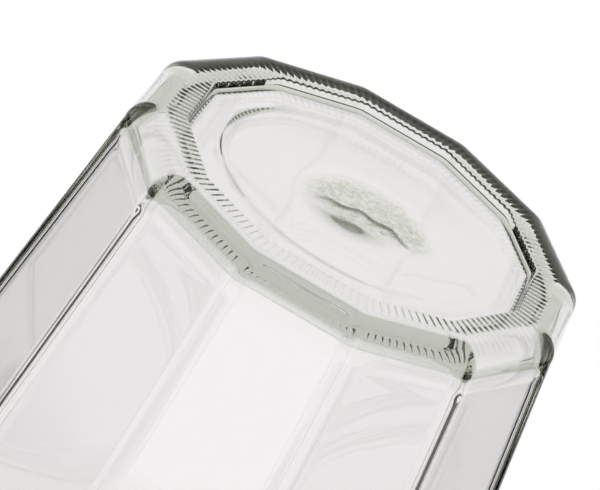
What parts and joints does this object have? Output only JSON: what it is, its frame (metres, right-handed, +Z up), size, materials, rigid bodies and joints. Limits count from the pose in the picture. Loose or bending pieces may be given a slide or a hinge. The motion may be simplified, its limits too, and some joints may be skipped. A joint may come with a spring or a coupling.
{
  "type": "glass storage jar",
  "caption": "Faceted clear glass storage jar with a flared body, round shoulder, wide plain mouth and a notched standing ring round a pushed-up base.",
  "frame": {"origin": "centre of the foot, on the plane the jar stands on", "axes": "+Z up along the jar's axis, towards the mouth; +X through one of the upright corners"},
  "size_m": [0.153, 0.153, 0.178],
  "materials": {
    "glass": "clear polished soda-lime glass with a faint green tint"
  },
  "bodies": {
    "root": {"jar": "glass"}
  },
  "joints": []
}
